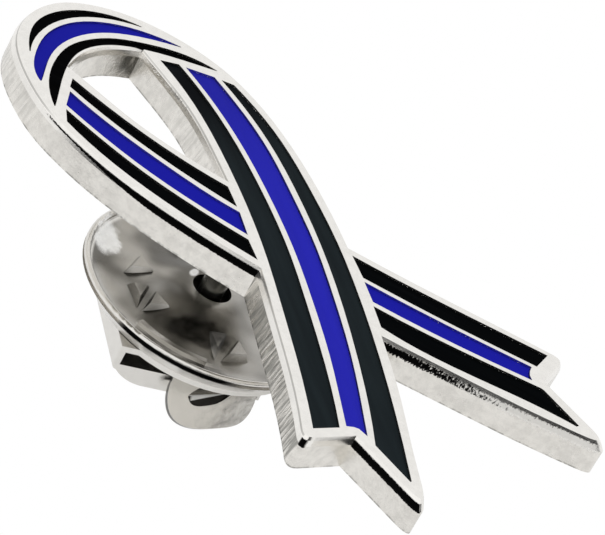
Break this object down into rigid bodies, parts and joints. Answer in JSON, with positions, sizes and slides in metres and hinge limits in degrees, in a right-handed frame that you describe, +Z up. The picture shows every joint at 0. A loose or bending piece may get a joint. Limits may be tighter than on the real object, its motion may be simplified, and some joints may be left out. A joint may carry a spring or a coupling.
{
  "type": "lapel pin",
  "caption": "Ribbon-shaped enamel lapel pin with a looped top, swallow tails, a soldered post and a butterfly clutch, resting face up on its clutch.",
  "frame": {"origin": "on the floor, under the middle of the whole pin's bounding box, as it rests", "axes": "+Y along the ribbon, from the tails towards the loop; +X to the right tail's side; +Z up from the floor. The ribbon's face leans about 15 degrees about X and 22 degrees about its own long direction."},
  "size_m": [0.0163, 0.0308, 0.0132],
  "materials": {
    "nickel": "bright polished nickel plate",
    "clutch_nickel": "bright stamped nickel plate",
    "enamel_blue": "glossy soft enamel",
    "enamel_black": "glossy soft enamel"
  },
  "bodies": {
    "pin": {"ribbon_plate": "nickel", "over_black_left": "enamel_black", "over_blue": "enamel_blue", "over_black_right": "enamel_black", "under_black_left": "enamel_black", "under_blue": "enamel_blue", "under_black_right": "enamel_black", "tail_black_left": "enamel_black", "tail_blue": "enamel_blue", "tail_black_right": "enamel_black", "loop_black_outer": "enamel_black", "loop_blue": "enamel_blue", "loop_black_inner": "enamel_black"},
    "clutch": {"clutch_dish": "clutch_nickel", "clutch_spring": "clutch_nickel"}
  },
  "joints": [
    {"name": "clutch_slide", "type": "slide", "parent": "pin", "child": "clutch", "axis": [-0.3809, 0.235, -0.8943], "range_m": [0, 0.008]}
  ]
}
